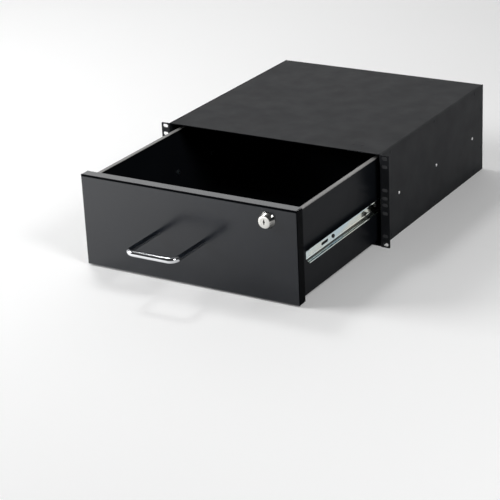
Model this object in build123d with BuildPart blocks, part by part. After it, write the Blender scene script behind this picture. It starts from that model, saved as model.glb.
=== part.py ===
from build123d import *
import os

os.makedirs("parts", exist_ok=True)

# A four-unit drawer for a 19-inch equipment rack, drawn standing open.
# X runs across the rack, Y runs into the rack and Z runs up, in millimetres.
# The origin is the centre of the ear holes, on the back of the ears.

# Rack interface, after the 19-inch standard
# The drawer's width and height make the ears 482.6 mm wide and four units high
ear_reach = 18.7
ear_hole_inset = 8.75
panel_relief = 0.8
edge_hole = 6.35
hole_step = 15.875
ear_slot_length = 11.0
ear_slot_height = 7.0
ear_corner_radius = 2.0

# Housing
side_sheet = 1.5
cover_sheet = 1.2
inside_bend = 0.5
housing_depth = 450.0
cover_lip = 15.0
cover_setback = 1.0
cover_bend = 1.8
back_lip = 13.0
lip_clearance = 0.6
rivet_radius = 1.6
rivet_head_radius = 3.0
rivet_head_outside = 0.6
rivet_head_inside = 1.0
cover_rivet_rows = (40.0, 225.0, 410.0)
cover_rivet_inset = 8.0
back_rivet_rows = (-40.0, 40.0)

# How far the drawer stands open, and its full travel
opened = 295.0
travel = 300.0

# Front panel, a folded pan, and its gaps to the housing's sides and covers
front_side_gap = 3.6
front_gap = 1.1
front_height = 172.4
front_depth = 20.0
front_sheet = 1.5
front_bend = 2.5
corner_notch = 0.3

# Drawer tray
tray_width = 423.2
tray_sheet = 1.2
tray_drop = 8.7
tray_rise = 4.5
tray_length = 437.0
tray_lip = 8.7
tray_bend = 1.6
wall_lip = 10.0
wall_gap = 0.5

# Ball slides
slide_thickness = 11.0
slide_height = 35.2
slide_centre_z = -8.5
cabinet_sheet = 1.2
cabinet_lip_thickness = 1.4
cabinet_lip_gap = 0.4
cabinet_length = 400.0
cabinet_front = 36.0
member_sheet = 1.2
member_lip_thickness = 1.4
member_height = 24.6
member_length = 393.0
member_front = 38.0
cabinet_curl = 0.9
member_curl = 0.45
curl_width = 1.0
cabinet_bend = 4.0
member_bend = 7.0
ball_radius = 2.0
race_clearance = 0.25
balls_per_row = 7
cage_sheet = 0.8
cage_length = 90.0
cage_edge = 0.5
cage_gap = 0.5
cage_stop_gap = 0.3
cage_window_height = 12.0
cage_window_margin = 9.0
stop_tab_thickness = 1.2
stop_tab_half_height = 4.0
stop_tab_hold = 0.2
slot_length = 24.0
slot_height = 5.5
slot_from_member_front = 66.0
screw_from_member_front = (96.5, 256.5, 378.0)
cabinet_rivet_places = (37.0, 197.0, 363.0)
bumper_length = 5.5
bumper_gap = 0.5
bumper_corner = 1.0

# Screws that hold the drawer members
member_screw_radius = 2.0
member_screw_head_radius = 3.6
member_screw_head = 1.9
member_screw_bevel = 0.8
member_nut_radius = 4.4
member_nut_thickness = 3.2
screw_clearance = 0.15
screw_past_nut = 0.6

# Wire pull
pull_offset = -17.3
pull_spacing = 96.0
pull_height_z = -2.0
pull_projection = 90.8
pull_wire = 10.0
pull_corner = 14.0
pull_bore_depth = 10.0
pull_screw_radius = 1.9
pull_screw_head_radius = 4.0
pull_screw_head = 2.6
pull_screw_bevel = 1.0
pull_screw_end_gap = 1.0

# Studs and nuts that hold the front panel to the inner wall
stud_radius = 2.0
stud_length = 8.0
stud_nut_radius = 4.2
stud_nut_thickness = 3.2
stud_from_side = 21.6
stud_from_edge = 26.2

# Lock, placed from the tray's side and the front's top edge
lock_from_side = 49.6
lock_from_top = 24.7
lock_projection = 10.7
lock_face_radius = 11.2
lock_face_thickness = 1.5
lock_face_round = 0.6
collar_base_radius = 15.2
collar_nose_radius = 11.6
barrel_radius = 9.5
barrel_flat = 8.0
barrel_rear = 24.0
lock_clearance = 0.15
plug_radius = 6.0
plug_clearance = 0.08
lock_nut_radius = 14.0
lock_nut_thickness = 4.5
keyway_width = 1.8
keyway_height = 9.6
keyway_eye_radius = 2.1
keyway_depth = 14.0
cam_gap = 0.5
cam_sheet = 2.0
cam_length = 22.5
cam_hub_radius = 8.0
cam_tip_radius = 5.0
cam_square = 7.0
cam_square_fit = 0.1
square_past_nut = 1.0
cam_nut_radius = 5.6
cam_nut_thickness = 4.0
cam_hold = 4.7
strike_sheet = 1.5
strike_width = 32.0
strike_leg = 22.0
strike_gap = 1.2
strike_rivet_spacing = 18.0
strike_rivet_setback = 13.2
strike_head_below = 0.8
strike_head_above = 0.3

# Worked-out places
tray_half = tray_width / 2
tray_top = front_height / 2 - tray_drop
tray_floor = -front_height / 2 + tray_rise
bay_half = tray_half + slide_thickness
bay_top = front_height / 2 + front_gap
front_width = 2 * (bay_half - front_side_gap)
face_y = -side_sheet - opened
panel_half = bay_half + ear_reach
panel_height = 2 * (bay_top + cover_sheet)
half_units = (panel_height + panel_relief) / 2
ear_slot_x = panel_half - ear_hole_inset
ear_slot_rows = (edge_hole, edge_hole + hole_step, half_units - edge_hole - hole_step, half_units - edge_hole)
ear_slot_places = [(ear_slot_x, sign * z) for z in ear_slot_rows for sign in (-1, 1)]
stud_x = tray_half - stud_from_side
stud_z = front_height / 2 - stud_from_edge
stud_places = [(side * stud_x, end * stud_z) for side in (-1, 1) for end in (-1, 1)]
lock_x = tray_half - lock_from_side
lock_z = front_height / 2 - lock_from_top


def section_at(y):
    """Plane across the rack at depth y, drawn in X and Z; negative extrusions run into the rack."""
    return Plane.XZ.offset(-y)


def drawer_y(behind_face):
    """Depth of a place on the drawer, measured from the front panel's face."""
    return face_y + behind_face


def folded_sheet(points, bend, thickness, side):
    """Face of a folded sheet from its outside line, inside a sketch."""
    with BuildLine() as outline:
        FilletPolyline(*points, radius=bend)
        offset(amount=thickness, side=side)
    make_face(outline.edges())


def export(piece, name):
    piece.part.label = name
    export_step(piece.part, f"parts/{name}.step")


def export_pair(right, name):
    """Write the right-hand piece and its mirror image on the left."""
    export(right, f"{name}_right")
    with BuildPart() as left:
        mirror(right.part, about=Plane.YZ)
    export(left, f"{name}_left")


# Housing sides, each one sheet with its rack ear
with BuildPart() as housing_side:
    with BuildSketch(Plane.XY.offset(-panel_height / 2)):
        ear_line = [(panel_half, -side_sheet), (bay_half, -side_sheet), (bay_half, housing_depth)]
        folded_sheet(ear_line, side_sheet + inside_bend, side_sheet, Side.RIGHT)
    extrude(amount=panel_height)
    fillet(housing_side.edges().filter_by(Axis.Y).group_by(Axis.X)[-1], ear_corner_radius)
    with BuildSketch(Plane.XZ):
        with Locations(*ear_slot_places):
            SlotOverall(ear_slot_length, ear_slot_height)
    extrude(amount=side_sheet, both=True, mode=Mode.SUBTRACT)
    with BuildSketch(Plane.YZ.offset(bay_half)):
        with Locations(*[(cabinet_front + y, slide_centre_z) for y in cabinet_rivet_places]):
            Circle(rivet_radius)
        rivet_z = panel_height / 2 - cover_rivet_inset
        with Locations(*[(y, sign * rivet_z) for y in cover_rivet_rows for sign in (-1, 1)]):
            Circle(rivet_radius)
        with Locations(*[(housing_depth - cover_rivet_inset, z) for z in back_rivet_rows]):
            Circle(rivet_radius)
    extrude(amount=side_sheet, mode=Mode.SUBTRACT)
export_pair(housing_side, "housing_side")

# Bottom pan and top cover, channels between the sides
cover_run = housing_depth - cover_sheet - cover_setback
with BuildPart() as bottom_pan:
    with BuildSketch(section_at(cover_setback)):
        pan_bottom = -panel_height / 2
        pan_line = [
            (-bay_half, pan_bottom + cover_lip),
            (-bay_half, pan_bottom),
            (bay_half, pan_bottom),
            (bay_half, pan_bottom + cover_lip),
        ]
        folded_sheet(pan_line, cover_bend, cover_sheet, Side.LEFT)
    extrude(amount=-cover_run)
    with BuildSketch(Plane.YZ.offset(-bay_half)):
        with Locations(*[(y, pan_bottom + cover_rivet_inset) for y in cover_rivet_rows]):
            Circle(rivet_radius)
    extrude(amount=2 * bay_half, mode=Mode.SUBTRACT)
export(bottom_pan, "bottom_pan")

strike_front = -side_sheet + barrel_rear + cam_gap - strike_gap - strike_sheet
strike_rivet_y = strike_front + strike_rivet_setback
strike_rivets = [(lock_x + side * strike_rivet_spacing / 2, strike_rivet_y) for side in (-1, 1)]
with BuildPart() as top_cover:
    mirror(bottom_pan.part, about=Plane.XY)
    with BuildSketch(Plane.XY.offset(bay_top)):
        with Locations(*strike_rivets):
            Circle(rivet_radius)
    extrude(amount=cover_sheet, mode=Mode.SUBTRACT)
export(top_cover, "top_cover")

# Back panel, with side lips between the lips of the covers
with BuildPart() as back_panel:
    lip_height = panel_height - 2 * (cover_lip + lip_clearance)
    with BuildSketch(Plane.XY.offset(-lip_height / 2)):
        back_line = [
            (-bay_half, housing_depth - back_lip),
            (-bay_half, housing_depth),
            (bay_half, housing_depth),
            (bay_half, housing_depth - back_lip),
        ]
        folded_sheet(back_line, cover_bend, cover_sheet, Side.RIGHT)
    extrude(amount=lip_height)
    with BuildSketch(section_at(housing_depth - cover_sheet)):
        Rectangle(2 * (bay_half - cover_bend), 2 * bay_top)
    extrude(amount=-cover_sheet)
    with BuildSketch(Plane.YZ.offset(-bay_half)):
        with Locations(*[(housing_depth - cover_rivet_inset, z) for z in back_rivet_rows]):
            Circle(rivet_radius)
    extrude(amount=2 * bay_half, mode=Mode.SUBTRACT)
export(back_panel, "back_panel")

# Rivets that join the covers and the back to the sides
with BuildPart() as housing_rivets:
    rivet_spots = [(y, sign * rivet_z) for y in cover_rivet_rows for sign in (-1, 1)]
    rivet_spots += [(housing_depth - cover_rivet_inset, z) for z in back_rivet_rows]
    inner_head_x = bay_half - cover_sheet - rivet_head_inside
    with BuildSketch(Plane.YZ.offset(inner_head_x)):
        with Locations(*rivet_spots):
            Circle(rivet_head_radius)
    extrude(amount=rivet_head_inside)
    with BuildSketch(Plane.YZ.offset(inner_head_x)):
        with Locations(*rivet_spots):
            Circle(rivet_radius)
    extrude(amount=rivet_head_inside + cover_sheet + side_sheet)
    with BuildSketch(Plane.YZ.offset(bay_half + side_sheet)):
        with Locations(*rivet_spots):
            Circle(rivet_head_radius)
    extrude(amount=rivet_head_outside)
    mirror(about=Plane.YZ)
export(housing_rivets, "housing_rivets")

# Strike, the bracket behind which the lock's cam turns
strike_low = lock_z + cam_length - cam_hold
with BuildPart() as lock_strike:
    with BuildSketch(Plane.YZ.offset(lock_x - strike_width / 2)):
        strike_line = [
            (strike_front, strike_low),
            (strike_front, bay_top),
            (strike_front + strike_leg, bay_top),
        ]
        folded_sheet(strike_line, strike_sheet + inside_bend, strike_sheet, Side.RIGHT)
    extrude(amount=strike_width)
    with BuildSketch(Plane.XY.offset(bay_top - strike_sheet)):
        with Locations(*strike_rivets):
            Circle(rivet_radius)
    extrude(amount=strike_sheet, mode=Mode.SUBTRACT)
export(lock_strike, "lock_strike")

with BuildPart() as strike_rivet_pair:
    with BuildSketch(Plane.XY.offset(bay_top - strike_sheet - strike_head_below)):
        with Locations(*strike_rivets):
            Circle(rivet_head_radius)
    extrude(amount=strike_head_below)
    with BuildSketch(Plane.XY.offset(bay_top - strike_sheet)):
        with Locations(*strike_rivets):
            Circle(rivet_radius)
    extrude(amount=strike_sheet + cover_sheet)
    with BuildSketch(Plane.XY.offset(bay_top + cover_sheet)):
        with Locations(*strike_rivets):
            Circle(rivet_head_radius)
    extrude(amount=strike_head_above)
export(strike_rivet_pair, "strike_rivets")

# Ball slides, drawn on the right; x is taken from the housing wall towards the drawer
cage_web_x = cabinet_sheet + cage_gap
member_tip = cage_web_x + cage_sheet + cage_gap
cabinet_reach = slide_thickness - member_sheet - cabinet_lip_gap
ball_height = (slide_height / 2 - cabinet_lip_thickness + member_height / 2) / 2
ball_x = bay_half - (member_tip + cabinet_reach) / 2
race_radius = ball_radius + race_clearance
race_places = [(ball_x, slide_centre_z + sign * ball_height) for sign in (-1, 1)]


def slide_box(x_from, x_to, z_from, z_to, mode=Mode.ADD):
    """Rectangle of a slide section; x from the housing wall, z from the slide's centre."""
    centre = (bay_half - (x_from + x_to) / 2, slide_centre_z + (z_from + z_to) / 2)
    with Locations(centre):
        Rectangle(x_to - x_from, z_to - z_from, mode=mode)


# Cabinet member, the channel fixed to the housing wall
cabinet_half = slide_height / 2
cabinet_inner = cabinet_half - cabinet_lip_thickness
with BuildPart() as cabinet_member:
    with BuildSketch(section_at(cabinet_front)) as cabinet_section:
        slide_box(0, cabinet_reach, -cabinet_half, cabinet_half)
        slide_box(cabinet_sheet, cabinet_reach, -cabinet_inner, cabinet_inner, Mode.SUBTRACT)
        fillet(cabinet_section.vertices().group_by(Axis.X)[-2], cabinet_bend - cabinet_sheet)
        fillet(cabinet_section.vertices().group_by(Axis.X)[-1], cabinet_bend)
        for sign in (-1, 1):
            edge_low, edge_high = sorted((sign * cabinet_inner, sign * (cabinet_inner - cabinet_curl)))
            slide_box(cabinet_reach - curl_width, cabinet_reach, edge_low, edge_high)
        with Locations(*race_places):
            Circle(race_radius, mode=Mode.SUBTRACT)
    extrude(amount=-cabinet_length)
    with BuildSketch(section_at(cabinet_front)):
        tab_half = stop_tab_half_height
        slide_box(cabinet_sheet, cage_web_x + cage_sheet + stop_tab_hold, -tab_half, tab_half)
    extrude(amount=-stop_tab_thickness)
    with BuildSketch(Plane.YZ.offset(bay_half - cabinet_sheet)):
        with Locations(*[(cabinet_front + y, slide_centre_z) for y in cabinet_rivet_places]):
            Circle(rivet_radius)
    extrude(amount=cabinet_sheet, mode=Mode.SUBTRACT)
    with Locations(*[(bay_half, cabinet_front + y, slide_centre_z) for y in cabinet_rivet_places]):
        Cone(
            bottom_radius=rivet_radius,
            top_radius=rivet_head_radius,
            height=cabinet_sheet,
            rotation=(0, -90, 0),
            align=(Align.CENTER, Align.CENTER, Align.MIN),
            mode=Mode.SUBTRACT,
        )
export_pair(cabinet_member, "cabinet_member")

# Countersunk rivets that hold the cabinet members
with BuildPart() as cabinet_rivets:
    with Locations(*[(bay_half, cabinet_front + y, slide_centre_z) for y in cabinet_rivet_places]):
        Cone(
            bottom_radius=rivet_radius,
            top_radius=rivet_head_radius,
            height=cabinet_sheet,
            rotation=(0, -90, 0),
            align=(Align.CENTER, Align.CENTER, Align.MIN),
        )
    with BuildSketch(Plane.YZ.offset(bay_half)):
        with Locations(*[(cabinet_front + y, slide_centre_z) for y in cabinet_rivet_places]):
            Circle(rivet_radius)
    extrude(amount=side_sheet)
    with BuildSketch(Plane.YZ.offset(bay_half + side_sheet)):
        with Locations(*[(cabinet_front + y, slide_centre_z) for y in cabinet_rivet_places]):
            Circle(rivet_head_radius)
    extrude(amount=rivet_head_outside)
    mirror(about=Plane.YZ)
export(cabinet_rivets, "cabinet_rivets")

# Rubber bumper in the rear end of each cabinet member
member_half = member_height / 2
bumper_front = -side_sheet + member_front + member_length + bumper_gap
with BuildPart() as bumper:
    with BuildSketch(section_at(bumper_front)) as bumper_section:
        slide_box(cabinet_sheet, cabinet_reach - curl_width, -member_half, member_half)
        fillet(bumper_section.vertices(), bumper_corner)
    extrude(amount=-bumper_length)
export_pair(bumper, "slide_bumper")

# Drawer member, the channel fixed to the tray
member_inner = member_half - member_lip_thickness
with BuildPart() as drawer_member:
    with BuildSketch(section_at(drawer_y(member_front))) as member_section:
        slide_box(member_tip, slide_thickness, -member_half, member_half)
        slide_box(member_tip, slide_thickness - member_sheet, -member_inner, member_inner, Mode.SUBTRACT)
        fillet(member_section.vertices().group_by(Axis.X)[1], member_bend - member_sheet)
        fillet(member_section.vertices().group_by(Axis.X)[0], member_bend)
        for sign in (-1, 1):
            edge_low, edge_high = sorted((sign * member_half, sign * (member_half + member_curl)))
            slide_box(member_tip, member_tip + curl_width, edge_low, edge_high)
        with Locations(*race_places):
            Circle(race_radius, mode=Mode.SUBTRACT)
    extrude(amount=-member_length)
    rear_tab = drawer_y(member_front + member_length) - stop_tab_thickness
    with BuildSketch(section_at(rear_tab)):
        slide_box(cage_web_x, slide_thickness - member_sheet, -tab_half, tab_half)
    extrude(amount=-stop_tab_thickness)
    with BuildSketch(Plane.YZ.offset(tray_half)):
        with Locations((drawer_y(member_front + slot_from_member_front), slide_centre_z)):
            SlotOverall(slot_length, slot_height)
        with Locations(*[(drawer_y(member_front + y), slide_centre_z) for y in screw_from_member_front]):
            Circle(member_screw_radius + screw_clearance)
    extrude(amount=member_sheet, mode=Mode.SUBTRACT)
export_pair(drawer_member, "drawer_member")

# Ball cage, a thin channel that runs between the two members
cage_half = ball_height + cage_sheet / 2
cage_front_open = cabinet_front + stop_tab_thickness + cage_stop_gap
cage_front = cage_front_open + (travel - opened) / 2
cage_inner_half = cage_half - cage_sheet
cage_reach = bay_half - ball_x + race_radius + cage_edge
cage_window_length = (cage_length - 3 * cage_window_margin) / 2
cage_window_step = cage_window_length + cage_window_margin
cage_middle = cage_front + cage_length / 2
row_pitch = cage_length / balls_per_row
ball_rows = [cage_front + row_pitch * (index + 0.5) for index in range(balls_per_row)]
with BuildPart() as ball_cage:
    with BuildSketch(section_at(cage_front)) as cage_section:
        slide_box(cage_web_x, cage_reach, -cage_half, cage_half)
        fillet(cage_section.vertices().group_by(Axis.X)[-1], cage_sheet)
        slide_box(cage_web_x + cage_sheet, cage_reach, -cage_inner_half, cage_inner_half, Mode.SUBTRACT)
    extrude(amount=-cage_length)
    with BuildSketch(Plane.XY.offset(slide_centre_z - cage_half)):
        with Locations(*[(ball_x, y) for y in ball_rows]):
            Circle(race_radius)
    extrude(amount=2 * cage_half, mode=Mode.SUBTRACT)
    with BuildSketch(Plane.YZ.offset(bay_half - cage_reach)):
        with Locations(*[(cage_middle + end * cage_window_step / 2, slide_centre_z) for end in (-1, 1)]):
            SlotOverall(cage_window_length, cage_window_height)
    extrude(amount=cage_reach, mode=Mode.SUBTRACT)
export_pair(ball_cage, "ball_cage")

# Balls, two rows in each cage
with BuildPart() as balls:
    for sign in (-1, 1):
        row_z = slide_centre_z + sign * ball_height
        with Locations(*[(ball_x, y, row_z) for y in ball_rows]):
            Sphere(ball_radius)
export_pair(balls, "balls")

# Drawer tray, one sheet folded into a floor, two sides and their top lips
screw_places = [(drawer_y(member_front + y), slide_centre_z) for y in screw_from_member_front]
with BuildPart() as tray:
    with BuildSketch(section_at(drawer_y(front_sheet))):
        tray_line = [
            (-tray_half + tray_lip, tray_top),
            (-tray_half, tray_top),
            (-tray_half, tray_floor),
            (tray_half, tray_floor),
            (tray_half, tray_top),
            (tray_half - tray_lip, tray_top),
        ]
        folded_sheet(tray_line, tray_bend, tray_sheet, Side.LEFT)
    extrude(amount=-(tray_length - front_sheet))
    with BuildSketch(Plane.YZ.offset(-tray_half)):
        with Locations(*screw_places):
            Circle(member_screw_radius + screw_clearance)
    extrude(amount=tray_width, mode=Mode.SUBTRACT)
export(tray, "drawer_tray")

# Inner wall behind the front panel, and the tray's back
wall_half = tray_half - tray_sheet
wall_low = tray_floor + tray_bend
wall_high = tray_top - tray_bend
top_lip_half = tray_half - tray_lip - wall_gap


def end_wall(outside_y, into_tray):
    """A wall across the tray with side lips and a top lip, all turned into the tray."""
    side = Side.LEFT if into_tray > 0 else Side.RIGHT
    lip_y = outside_y + into_tray * wall_lip
    with BuildSketch(Plane.XY.offset(wall_low)) as wall_section:
        wall_line = [(-wall_half, lip_y), (-wall_half, outside_y), (wall_half, outside_y), (wall_half, lip_y)]
        folded_sheet(wall_line, tray_bend, tray_sheet, side)
    extrude(wall_section.sketch, amount=wall_high - wall_low)
    with BuildSketch(Plane.YZ.offset(-top_lip_half)) as lip_section:
        top_line = [(outside_y, wall_low), (outside_y, tray_top), (lip_y, tray_top)]
        folded_sheet(top_line, tray_bend, tray_sheet, Side.RIGHT if into_tray > 0 else Side.LEFT)
    extrude(lip_section.sketch, amount=2 * top_lip_half)


wall_y = drawer_y(front_sheet)
pull_places = [(pull_offset + sign * pull_spacing / 2, pull_height_z) for sign in (-1, 1)]
with BuildPart() as inner_front:
    end_wall(wall_y, 1)
    with BuildSketch(section_at(wall_y)):
        with Locations((lock_x, lock_z)):
            Circle(barrel_radius + lock_clearance)
        with Locations(*stud_places):
            Circle(stud_radius + screw_clearance)
        with Locations(*pull_places):
            Circle(pull_screw_radius + screw_clearance)
    extrude(amount=-tray_sheet, mode=Mode.SUBTRACT)
export(inner_front, "inner_front")

with BuildPart() as tray_back:
    end_wall(drawer_y(tray_length), -1)
export(tray_back, "tray_back")

# Front panel, a pan folded on four sides with notched corners and four welded studs
with BuildPart() as front_panel:
    with BuildSketch(section_at(face_y)):
        Rectangle(front_width, front_height)
    extrude(amount=-front_depth)
    fillet(front_panel.faces().sort_by(Axis.Y)[0].edges(), front_bend)
    offset(amount=-front_sheet, openings=front_panel.faces().sort_by(Axis.Y)[-1])
    notch = front_sheet + corner_notch
    corner_x = (front_width - notch) / 2
    corner_z = (front_height - notch) / 2
    corner_places = [(side * corner_x, end * corner_z) for side in (-1, 1) for end in (-1, 1)]
    with BuildSketch(section_at(drawer_y(front_bend))):
        with Locations(*corner_places):
            Rectangle(notch, notch)
    extrude(amount=-(front_depth - front_bend), mode=Mode.SUBTRACT)
    with BuildSketch(section_at(face_y)):
        with Locations((lock_x, lock_z)):
            Circle(barrel_radius + lock_clearance)
        with Locations(*pull_places):
            Circle(pull_screw_radius + screw_clearance)
    extrude(amount=-front_sheet, mode=Mode.SUBTRACT)
    with BuildSketch(section_at(drawer_y(front_sheet))):
        with Locations(*stud_places):
            Circle(stud_radius)
    extrude(amount=-stud_length)
export(front_panel, "front_panel")

with BuildPart() as stud_nuts:
    with BuildSketch(section_at(wall_y + tray_sheet)):
        with Locations(*stud_places):
            RegularPolygon(stud_nut_radius, 6)
        with Locations(*stud_places):
            Circle(stud_radius, mode=Mode.SUBTRACT)
    extrude(amount=-stud_nut_thickness)
export(stud_nuts, "stud_nuts")

# Wire pull, bent from one rod, with a screw into each end
with BuildPart() as pull:
    left_x, right_x = [place[0] for place in pull_places]
    bar_y = face_y - pull_projection
    with BuildLine() as pull_path:
        FilletPolyline(
            (left_x, face_y, pull_height_z),
            (left_x, bar_y, pull_height_z),
            (right_x, bar_y, pull_height_z),
            (right_x, face_y, pull_height_z),
            radius=pull_corner,
        )
    with BuildSketch(section_at(face_y)):
        with Locations(pull_places[0]):
            Circle(pull_wire / 2)
    sweep(path=pull_path.line)
    with BuildSketch(section_at(face_y)):
        with Locations(*pull_places):
            Circle(pull_screw_radius)
    extrude(amount=pull_bore_depth, mode=Mode.SUBTRACT)
export(pull, "wire_pull")

with BuildPart() as pull_screws:
    with BuildSketch(section_at(wall_y + tray_sheet + pull_screw_head)):
        with Locations(*pull_places):
            Circle(pull_screw_head_radius)
    extrude(amount=pull_screw_head)
    chamfer(pull_screws.faces().sort_by(Axis.Y)[-2:].edges(), pull_screw_bevel)
    with BuildSketch(section_at(wall_y + tray_sheet)):
        with Locations(*pull_places):
            Circle(pull_screw_radius)
    extrude(amount=tray_sheet + front_sheet + pull_bore_depth - pull_screw_end_gap)
export(pull_screws, "pull_screws")

# Screws through the drawer members, and their nuts inside the tray
with BuildPart() as member_screws:
    with BuildSketch(Plane.YZ.offset(tray_half + member_sheet)):
        with Locations(*screw_places):
            Circle(member_screw_head_radius)
    extrude(amount=member_screw_head)
    chamfer(member_screws.faces().filter_by(Axis.X).group_by(Axis.X)[-1].edges(), member_screw_bevel)
    with BuildSketch(Plane.YZ.offset(tray_half + member_sheet)):
        with Locations(*screw_places):
            Circle(member_screw_radius)
    extrude(amount=-(member_sheet + tray_sheet + member_nut_thickness + screw_past_nut))
    mirror(about=Plane.YZ)
export(member_screws, "member_screws")

with BuildPart() as member_nuts:
    with BuildSketch(Plane.YZ.offset(tray_half - tray_sheet)):
        with Locations(*screw_places):
            RegularPolygon(member_nut_radius, 6)
        with Locations(*screw_places):
            Circle(member_screw_radius, mode=Mode.SUBTRACT)
    extrude(amount=-member_nut_thickness)
    mirror(about=Plane.YZ)
export(member_nuts, "member_nuts")

# Lock collar, a cone between the panel and the lock's face
collar_height = lock_projection - lock_face_thickness
with BuildPart() as lock_collar:
    with BuildSketch(section_at(face_y)):
        with Locations((lock_x, lock_z)):
            Circle(collar_base_radius)
    with BuildSketch(section_at(face_y - collar_height)):
        with Locations((lock_x, lock_z)):
            Circle(collar_nose_radius)
    loft()
    with BuildSketch(section_at(face_y)):
        with Locations((lock_x, lock_z)):
            Circle(barrel_radius + lock_clearance)
    extrude(amount=collar_height, mode=Mode.SUBTRACT)
export(lock_collar, "lock_collar")

# Lock barrel, a flat-sided threaded body with a round face
with BuildPart() as lock_barrel:
    with BuildSketch(section_at(face_y - lock_projection)):
        with Locations((lock_x, lock_z)):
            Circle(lock_face_radius)
    extrude(amount=-lock_face_thickness)
    fillet(lock_barrel.faces().sort_by(Axis.Y)[0].edges(), lock_face_round)
    with BuildSketch(section_at(face_y - collar_height)):
        with Locations((lock_x, lock_z)):
            Circle(barrel_radius)
            Rectangle(2 * barrel_flat, 2 * barrel_radius, mode=Mode.INTERSECT)
    extrude(amount=-(collar_height + barrel_rear))
    with BuildSketch(section_at(face_y - lock_projection)):
        with Locations((lock_x, lock_z)):
            Circle(plug_radius + plug_clearance)
    extrude(amount=-(lock_projection + barrel_rear), mode=Mode.SUBTRACT)
export(lock_barrel, "lock_barrel")

with BuildPart() as lock_nut:
    with BuildSketch(section_at(wall_y + tray_sheet)):
        with Locations((lock_x, lock_z)):
            RegularPolygon(lock_nut_radius, 6)
            Circle(barrel_radius + lock_clearance, mode=Mode.SUBTRACT)
    extrude(amount=-lock_nut_thickness)
export(lock_nut, "lock_nut")

# Lock plug, which turns in the barrel and carries the cam on its square end
cam_y = drawer_y(barrel_rear + cam_gap)
with BuildPart() as lock_plug:
    with BuildSketch(section_at(face_y - lock_projection)):
        with Locations((lock_x, lock_z)):
            Circle(plug_radius)
    extrude(amount=-(lock_projection + barrel_rear + cam_gap))
    with BuildSketch(section_at(cam_y)):
        with Locations((lock_x, lock_z)):
            Rectangle(cam_square, cam_square)
    extrude(amount=-(cam_sheet + cam_nut_thickness + square_past_nut))
    with BuildSketch(section_at(face_y - lock_projection)):
        with Locations((lock_x, lock_z)):
            Rectangle(keyway_width, keyway_height)
            Circle(keyway_eye_radius)
    extrude(amount=-keyway_depth, mode=Mode.SUBTRACT)
export(lock_plug, "lock_plug")

# Cam, pointing sideways while the drawer is unlocked
with BuildPart() as lock_cam:
    with BuildSketch(section_at(cam_y)):
        with Locations((lock_x, lock_z)):
            Circle(cam_hub_radius)
        with Locations((lock_x - cam_length + cam_tip_radius, lock_z)):
            Circle(cam_tip_radius)
        make_hull()
        with Locations((lock_x, lock_z)):
            Rectangle(cam_square + cam_square_fit, cam_square + cam_square_fit, mode=Mode.SUBTRACT)
    extrude(amount=-cam_sheet)
export(lock_cam, "lock_cam")

with BuildPart() as cam_nut:
    with BuildSketch(section_at(cam_y + cam_sheet)):
        with Locations((lock_x, lock_z)):
            RegularPolygon(cam_nut_radius, 6)
            Rectangle(cam_square, cam_square, mode=Mode.SUBTRACT)
    extrude(amount=-cam_nut_thickness)
export(cam_nut, "cam_nut")
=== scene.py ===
import math

import bmesh
import bpy
from mathutils import Matrix, Vector


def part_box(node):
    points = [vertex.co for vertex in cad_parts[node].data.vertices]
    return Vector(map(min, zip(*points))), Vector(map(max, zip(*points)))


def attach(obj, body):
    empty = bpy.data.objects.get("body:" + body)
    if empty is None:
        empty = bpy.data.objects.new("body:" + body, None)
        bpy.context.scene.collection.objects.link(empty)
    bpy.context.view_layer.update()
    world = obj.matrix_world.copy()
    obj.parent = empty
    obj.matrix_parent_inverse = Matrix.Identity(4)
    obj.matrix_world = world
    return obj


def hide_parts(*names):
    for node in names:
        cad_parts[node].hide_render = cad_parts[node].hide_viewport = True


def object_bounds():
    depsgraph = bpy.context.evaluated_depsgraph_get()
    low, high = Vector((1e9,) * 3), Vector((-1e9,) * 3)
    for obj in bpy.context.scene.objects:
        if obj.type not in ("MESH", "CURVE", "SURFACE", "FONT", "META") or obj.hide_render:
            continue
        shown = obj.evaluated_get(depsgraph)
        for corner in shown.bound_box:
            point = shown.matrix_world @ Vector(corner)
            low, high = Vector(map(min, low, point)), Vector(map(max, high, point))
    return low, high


bl_info = {
    "name": "Sliding Rack Drawer Finish",
    "version": (1, 0, 0),
    "blender": (4, 5, 0),
    "location": "View3D > Sidebar > Rack Drawer",
    "description": "Dresses a lockable rack drawer on ball slides with its finishes, "
                   "screws, rivets, balls and a studio",
    "category": "Object",
}

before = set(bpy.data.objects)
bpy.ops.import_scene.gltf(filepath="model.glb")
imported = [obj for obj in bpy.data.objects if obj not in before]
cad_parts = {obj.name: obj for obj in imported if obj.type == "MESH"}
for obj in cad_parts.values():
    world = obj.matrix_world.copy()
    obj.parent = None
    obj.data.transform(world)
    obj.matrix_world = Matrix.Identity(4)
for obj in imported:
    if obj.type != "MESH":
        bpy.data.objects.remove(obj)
cad_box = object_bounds()
MM = 0.001
QUARTER_TURN = math.pi / 2
SIXTH_TURN = math.pi / 3

# Hardware sizes in millimetres

HOUSING_RIVET = {"near": 1.0, "span": 2.7, "head_radius": 3.0, "shank_radius": 1.6, "far": 0.6}
STRIKE_RIVET = {"near": 0.8, "span": 2.7, "head_radius": 3.0, "shank_radius": 1.6, "far": 0.3}
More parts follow.
